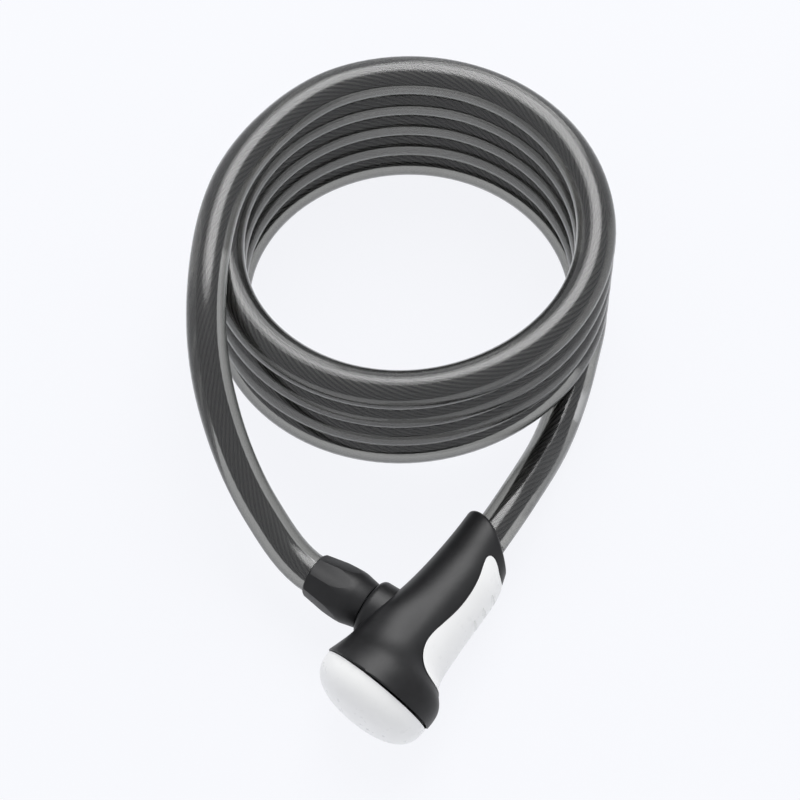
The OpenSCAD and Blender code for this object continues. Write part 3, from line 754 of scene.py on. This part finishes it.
# A flat is one face with many corners, so its border is known by that
ridges = [e for e in barrel.edges
          if len(e.link_faces) == 2 and any(len(f.verts) > 8 for f in e.link_faces)
          and e.calc_face_angle() > RIDGE_ANGLE]
bmesh.ops.bevel(barrel, geom=ridges, offset=RIDGE_ROUND, segments=2, profile=0.5,
                affect="EDGES", material=-1, clamp_overlap=True)
print("plug flats slope", round(math.degrees(flat_slope), 1), "degrees;",
      len(ridges), "edges rounded")
plug = piece_from(barrel, "plug_barrel")
smooth_shade(plug, 12)
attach(plug, "plug")
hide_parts("plug_housing")

# %% [markdown]
# ## Finishes
#
# Each finish is named for the real material. Colours are sRGB hex values that one
# function turns to linear, and one function adds a node with its settings and links.
# A value that is the same all over goes straight on the shader's own socket.

# %% Material helpers
def linear(hex_code):
    """An sRGB hex value as the linear colour that Blender's sockets take."""
    channels = [int(hex_code[k:k + 2], 16) / 255 for k in (1, 3, 5)]
    return (*[c / 12.92 if c <= 0.04045 else ((c + 0.055) / 1.055) ** 2.4
              for c in channels], 1.0)


def add(owner, kind, inputs, settings=None, shader=None):
    """Adds a node with its settings and inputs. shader names the shader's socket it feeds."""
    nodes, links = owner.node_tree.nodes, owner.node_tree.links
    node = nodes.new(kind)
    for key, value in (settings or {}).items():
        setattr(node, key, value)
    for key, value in inputs.items():
        if isinstance(value, bpy.types.NodeSocket):
            links.new(value, node.inputs[key])
        else:
            node.inputs[key].default_value = value
    if shader:
        result = next(o for o in node.outputs if o.enabled)
        links.new(result, nodes["Principled BSDF"].inputs[shader])
    return node


def plain(name, **shader):
    """A material whose shader sockets take the given even values."""
    material = bpy.data.materials.new(name)
    material.use_nodes = True
    sockets = material.node_tree.nodes["Principled BSDF"].inputs
    for socket, value in shader.items():
        sockets[socket.replace("_", " ")].default_value = value
    return material


def wear(material, *pieces):
    """Puts a material on pieces, or on nodes of the frame by name."""
    for piece in pieces:
        target = bpy.data.objects[piece] if isinstance(piece, str) else piece
        target.data.materials.clear()
        target.data.materials.append(material)


print("#808080 in linear light:", round(linear("#808080")[0], 3))

# %% [markdown]
# ### Smoky vinyl
#
# The jacket is plasticised PVC, extruded and glossy. It is clear but tinted grey, so
# light that crosses it comes out darker. The thin dark outline of each turn is painted
# shade: a Layer Weight darkens the tint where the eye grazes the wall, as dim
# surroundings darken the edge of a real tube. Where two turns of the coil press on each
# other, little light gets in between, so a painted shadow darkens the tint along that
# line: an attribute says which points have a neighbour, and the surface's own slope says
# how near the line is. A rough coat over the clear body gives the soft sheen of
# plasticised vinyl.

# %% Where turns touch
# Points found here take a painted shadow along the line where turns touch
# A turn counts as a neighbour when its middle lies within this of one pitch up or down
TOUCH_REACH = 3
outline_points = len(jacket.data.vertices) // len(jacket_line)
turns = KDTree(len(jacket_line))
for k, p in enumerate(jacket_line):
    turns.insert(p, k)
turns.balance()
stacked = jacket.data.attributes.new("stacked", "FLOAT", "POINT")
for k, v in enumerate(jacket.data.vertices):
    centre = jacket_line[min(k // outline_points, len(jacket_line) - 1)]
    side = 1 if v.co.z / MM > centre.z else -1
    neighbour = centre + Vector((0, 0, side * PITCH))
    stacked.data[k].value = bool(turns.find_range(neighbour, TOUCH_REACH))
print("outline of", outline_points, "points;", int(sum(s.value for s in stacked.data)),
      "points of the jacket touch a turn")

# %% Vinyl
# The wall's tint seen square on, the painted shade of its grazing edge, and the painted
# shadow of the line where two turns touch
WALL_TINT, EDGE_PAINTED_SHADE, TOUCH_PAINTED_SHADOW = "#90908d", "#3c3e3c", "#2e2e2d"
# The wall's tint holds up to the first share of grazing, the edge's painted shade from
# the second
WALL_TO, EDGE_FROM = 0.30, 0.62
# The painted shadow of the touching line, as an angle from the top or bottom of a turn:
# full, then faded out
TOUCH_FULL, TOUCH_NONE = math.radians(18), math.radians(27)
# Extrusion leaves faint waves of gloss of about this size
FLOW_MM = 2.5
vinyl = plain("smoky_clear_vinyl", IOR=1.5, Transmission_Weight=0.97, Specular_IOR_Level=0.08,
              Coat_Weight=0.2, Coat_Roughness=0.45, Coat_IOR=1.5)
# The Layer Weight paints shade on the grazing edge of each turn
edge = add(vinyl, "ShaderNodeLayerWeight", {"Blend": 0.5}).outputs["Facing"]
tint = add(vinyl, "ShaderNodeValToRGB", {"Fac": edge})
wall_end, edge_end = tint.color_ramp.elements
wall_end.position, wall_end.color = WALL_TO, linear(WALL_TINT)
edge_end.position, edge_end.color = EDGE_FROM, linear(EDGE_PAINTED_SHADE)
surface = add(vinyl, "ShaderNodeTexCoord", {}).outputs
upright = add(vinyl, "ShaderNodeSeparateXYZ", {"Vector": surface["Normal"]}).outputs["Z"]
level = add(vinyl, "ShaderNodeMath", {0: upright}, {"operation": "ABSOLUTE"}).outputs[0]
line_near = add(vinyl, "ShaderNodeMapRange",
                {"Value": level, "From Min": math.cos(TOUCH_NONE),
                 "From Max": math.cos(TOUCH_FULL)}).outputs["Result"]
has_turn = add(vinyl, "ShaderNodeAttribute", {}, {"attribute_name": "stacked"}).outputs["Fac"]
touching = add(vinyl, "ShaderNodeMath", {0: line_near, 1: has_turn},
               {"operation": "MULTIPLY"}).outputs[0]
# The painted shadow where turns touch darkens the tint here
# Sockets 6 and 7 of a Mix node are its two colours
add(vinyl, "ShaderNodeMix",
    {"Factor": touching, 6: tint.outputs["Color"], 7: linear(TOUCH_PAINTED_SHADOW)},
    {"data_type": "RGBA"}, shader="Base Color")
flow = add(vinyl, "ShaderNodeTexNoise",
           {"Vector": surface["Object"], "Scale": 1 / (FLOW_MM * MM), "Detail": 2.0})
add(vinyl, "ShaderNodeMapRange", {"Value": flow.outputs["Fac"], "To Min": 0.1, "To Max": 0.18},
    shader="Roughness")
wear(vinyl, jacket)
print(vinyl.name, "has", len(vinyl.node_tree.nodes), "nodes")

# %% [markdown]
# ### Steel rope
#
# Bright drawn wire, laid in strands. Each strand shines along its top. Its colour here is
# painted dark, as painted shade for the dim surroundings that the wire reflects inside
# the jacket, and oil and a painted shadow darken the grooves between the strands. An image
# could show the strands, but they have real shape here, so an attribute on the mesh tells
# how deep in a groove each point lies, and the two tones follow it.

# %% Steel rope
# The strands' painted dark tone holds up to the first depth, the grooves' oil and
# painted shadow from the second
STRAND_STEEL_AND_SHADE, GROOVE_OIL_AND_SHADOW = "#4a4a48", "#060606"
STRAND_TO, GROOVE_FROM = 0.02, 0.42
# Oil lies on the wire in smears of about this size
SMEAR_MM = 4
outline_r = [math.hypot(x, y) for x, y in rope_outline()]
depth_span = max(outline_r) - min(outline_r)
groove = core.data.attributes.new("groove", "FLOAT", "POINT")
for k in range(len(core.data.vertices)):
    groove.data[k].value = (max(outline_r) - outline_r[k % len(outline_r)]) / depth_span
rope = plain("drawn_steel_rope", Metallic=1.0)
deep = add(rope, "ShaderNodeAttribute", {}, {"attribute_name": "groove"}).outputs["Fac"]
shade = add(rope, "ShaderNodeValToRGB", {"Fac": deep}, shader="Base Color")
strand_end, groove_end = shade.color_ramp.elements
strand_end.position, strand_end.color = STRAND_TO, linear(STRAND_STEEL_AND_SHADE)
groove_end.position, groove_end.color = GROOVE_FROM, linear(GROOVE_OIL_AND_SHADOW)
rope_place = add(rope, "ShaderNodeTexCoord", {}).outputs["Object"]
oil = add(rope, "ShaderNodeTexNoise",
          {"Vector": rope_place, "Scale": 1 / (SMEAR_MM * MM), "Detail": 2.0})
add(rope, "ShaderNodeMapRange", {"Value": oil.outputs["Fac"], "To Min": 0.38, "To Max": 0.5},
    shader="Roughness")
wear(rope, core)
print("rope groove depth", round(depth_span, 2), "mm")

# %% [markdown]
# ### Moulded plastics
#
# The shell, collar and plug are glass-filled nylon from a spark-eroded mould: near
# black, satin, with a grain of about 0.4 mm. The grip and cover are ABS from a polished
# mould: white and glossy, with only a faint orange peel. The seat plate is the same
# nylon, left duller under the cover, and the seal is dull rubber. They differ only in
# their two tones, grain and gloss, so one function builds them all from real sizes.

# %% Plastics
def grained(name, tones, grain_mm, gloss, relief_mm, stretch=(1, 1, 1), **shader):
    """Two close tones in clouds nine grains wide, a varied roughness and a fine relief."""
    material = plain(name, **shader)
    place_on = add(material, "ShaderNodeTexCoord", {}).outputs["Object"]
    laid = add(material, "ShaderNodeMapping",
               {"Vector": place_on, "Scale": stretch}).outputs["Vector"]
    grain = add(material, "ShaderNodeTexNoise",
                {"Vector": laid, "Scale": 1 / (grain_mm * MM), "Detail": 4.0,
                 "Roughness": 0.6}).outputs["Fac"]
    cloud = add(material, "ShaderNodeTexNoise",
                {"Vector": laid, "Scale": 1 / (9 * grain_mm * MM), "Detail": 2.0}).outputs["Fac"]
    tint = add(material, "ShaderNodeValToRGB", {"Fac": cloud}, shader="Base Color").color_ramp
    tint.elements[0].position, tint.elements[1].position = 0.35, 0.65
    tint.elements[0].color, tint.elements[1].color = map(linear, tones)
    add(material, "ShaderNodeMapRange",
        {"Value": grain, "From Min": 0.3, "From Max": 0.7,
         "To Min": gloss[0], "To Max": gloss[1]}, shader="Roughness")
    add(material, "ShaderNodeBump",
        {"Height": grain, "Strength": 0.5, "Distance": relief_mm * MM}, shader="Normal")
    return material


satin_nylon = grained("satin_black_nylon", ("#151516", "#1a1a1b"), grain_mm=0.4,
                      gloss=(0.36, 0.46), relief_mm=0.01, IOR=1.5, Specular_IOR_Level=0.26)
gloss_abs = grained("white_gloss_abs", ("#f4f4f2", "#f1f1ef"), grain_mm=3.0,
                    gloss=(0.26, 0.34), relief_mm=0.004, IOR=1.53, Specular_IOR_Level=0.2)
seat_nylon = grained("matt_black_nylon", ("#0e0e0f", "#141415"), grain_mm=0.5,
                     gloss=(0.55, 0.7), relief_mm=0.02, IOR=1.5)
rubber = grained("black_seal_rubber", ("#0b0b0b", "#111111"), grain_mm=0.6,
                 gloss=(0.7, 0.85), relief_mm=0.02, IOR=1.5)
for material, pieces in ((satin_nylon, (shell, collar, plug)), (gloss_abs, (insert, cover)),
                         (seat_nylon, ("cover_seat",)), (rubber, ("port_seal",))):
    wear(material, *pieces)
    print(material.name, "on", len(pieces), "pieces")

# %% [markdown]
# ### Metals of the mechanism
#
# The lock body is die-cast zinc with a grainy skin. The cylinder, rotor and wafers are
# turned and stamped brass. Pins, latch and ferrules are steel: ground, stamped or
# plated, and the screw is blackened. They show when the plug is out or the cover is
# open. The marks of turning run round the head's axis, and those of grinding run along
# the locking pin, so the grain of these two is stretched that way.

# %% Metals
# Each row: two tones, grain, gloss and relief, the stretch of the grain, and the nodes
EVEN, ROUND_X, ALONG_Y = (1, 1, 1), (1, 0.15, 0.15), (1, 0.1, 1)
METALS = {
    "die_cast_zinc": (("#8d9094", "#a3a6a9"), 0.7, (0.42, 0.58), 0.02, EVEN, ["lock_body"]),
    "turned_brass": (("#b08d4b", "#c8a761"), 0.25, (0.2, 0.32), 0.004, ROUND_X,
                     ["cylinder_sleeve", "rotor"]),
    "stamped_brass": (("#b9954f", "#caa960"), 0.5, (0.32, 0.45), 0.006, EVEN,
                      ["wafer_%d" % k for k in range(1, 6)]),
    "ground_steel": (("#a9abae", "#bcbec0"), 0.2, (0.16, 0.26), 0.003, ALONG_Y,
                     ["locking_pin", "drive_pin", "cover_pivot"]),
    "stamped_steel": (("#8b8d90", "#9c9ea1"), 0.5, (0.34, 0.48), 0.006, EVEN,
                      ["latch", "ferrule_pin", "plug_cross_pin", "tail_core_end",
                       "plug_core_end"]),
    "zinc_plated_steel": (("#9b9fa6", "#adb0b5"), 0.8, (0.28, 0.4), 0.004, EVEN,
                          ["tail_ferrule", "plug_ferrule"]),
    "black_oxide_steel": (("#2b2b2d", "#38383a"), 0.5, (0.35, 0.5), 0.006, EVEN,
                          ["shell_screw"])}
for name, (*finish, nodes) in METALS.items():
    wear(grained(name, *finish, Metallic=1.0), *nodes)
bare = [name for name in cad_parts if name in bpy.data.objects
        and not bpy.data.objects[name].hide_render
        and not bpy.data.objects[name].data.materials]
print("nodes without a finish:", bare)

# %% [markdown]
# ## Floor and light
#
# The lock lies on pale paper in a light tent. A soft lamp overhead and a weaker one from
# the far side light it, and the tent itself is an even world. A large panel between them
# is seen only as a reflection: it gives the vinyl, the black bell and the plug their
# broad sheen, and adds no light to the pale parts. The paper is mostly self-lit towards
# the camera, so it stays pale and keeps only a soft shadow.

# %% Floor
BACKDROP = linear("#f8f9fd")
FLOOR_HALF = 3
# The share of the paper that glows by itself. The rest shows the shadow
PAPER_GLOW = 0.93


def seen_directly(owner):
    """A factor that is 1 for rays from the camera, mirrors and glass, and 0 for light."""
    path = add(owner, "ShaderNodeLightPath", {}).outputs
    total = path["Is Camera Ray"]
    for ray in ("Is Glossy Ray", "Is Transmission Ray"):
        total = add(owner, "ShaderNodeMath", {0: total, 1: path[ray]},
                    {"operation": "ADD", "use_clamp": True}).outputs[0]
    return total


bm = bmesh.new()
bmesh.ops.create_grid(bm, x_segments=1, y_segments=1, size=FLOOR_HALF)
floor = linked("floor", bpy.data.meshes.new("floor"))
bm.to_mesh(floor.data)
bm.free()
paper = plain("pale_paper", Base_Color=BACKDROP, Roughness=0.9, Specular_IOR_Level=0.1)
lit_paper = paper.node_tree.nodes["Principled BSDF"].outputs[0]
glow = add(paper, "ShaderNodeEmission", {"Color": BACKDROP, "Strength": 1.0}).outputs[0]
share = add(paper, "ShaderNodeMath", {0: seen_directly(paper), 1: PAPER_GLOW},
            {"operation": "MULTIPLY"}).outputs[0]
blend = add(paper, "ShaderNodeMixShader", {"Fac": share, 1: lit_paper, 2: glow}).outputs[0]
paper.node_tree.links.new(blend, paper.node_tree.nodes["Material Output"].inputs["Surface"])
wear(paper, floor)
print("floor", [round(v, 1) for v in floor.dimensions], "m")

# %% Lamps and world
LAMP_AIM = Vector((0.03, 0.02, 0.02))
# How bright the tent looks, and how strongly it lights the lock
TENT_SEEN, TENT_LIGHT = 1.0, 0.7


def lamp(name, direction, distance, size, power):
    """A round soft lamp that looks back along a direction at the lock."""
    light = bpy.data.lights.new(name, "AREA")
    light.shape, light.size, light.energy = "DISK", size, power
    holder = linked(name, light)
    holder.location = LAMP_AIM + distance * Vector(direction).normalized()
    holder.rotation_mode = "QUATERNION"
    holder.rotation_quaternion = Vector(direction).to_track_quat("Z", "Y")
    print(name, "at", [round(v, 2) for v in holder.location])
    return holder


lamp("overhead", (0.45, 0.2, 0.87), distance=1.4, size=0.95, power=9)
lamp("side", (0.85, 0.24, 0.47), distance=1.4, size=0.8, power=4)
panel = lamp("sheen_panel", (0.42, 0.26, 0.87), distance=1.4, size=1.5, power=18)
panel.visible_diffuse = panel.visible_transmission = False
world = bpy.data.worlds.new("light_tent")
bpy.context.scene.world = world
world.use_nodes = True
sky = world.node_tree.nodes["Background"]
sky.inputs["Color"].default_value = BACKDROP
strength = add(world, "ShaderNodeMath",
               {0: seen_directly(world), 1: TENT_SEEN - TENT_LIGHT, 2: TENT_LIGHT},
               {"operation": "MULTIPLY_ADD"}).outputs[0]
world.node_tree.links.new(strength, sky.inputs["Strength"])
bpy.context.scene.view_settings.view_transform = "Standard"

# %% Last update
bpy.context.view_layer.update()
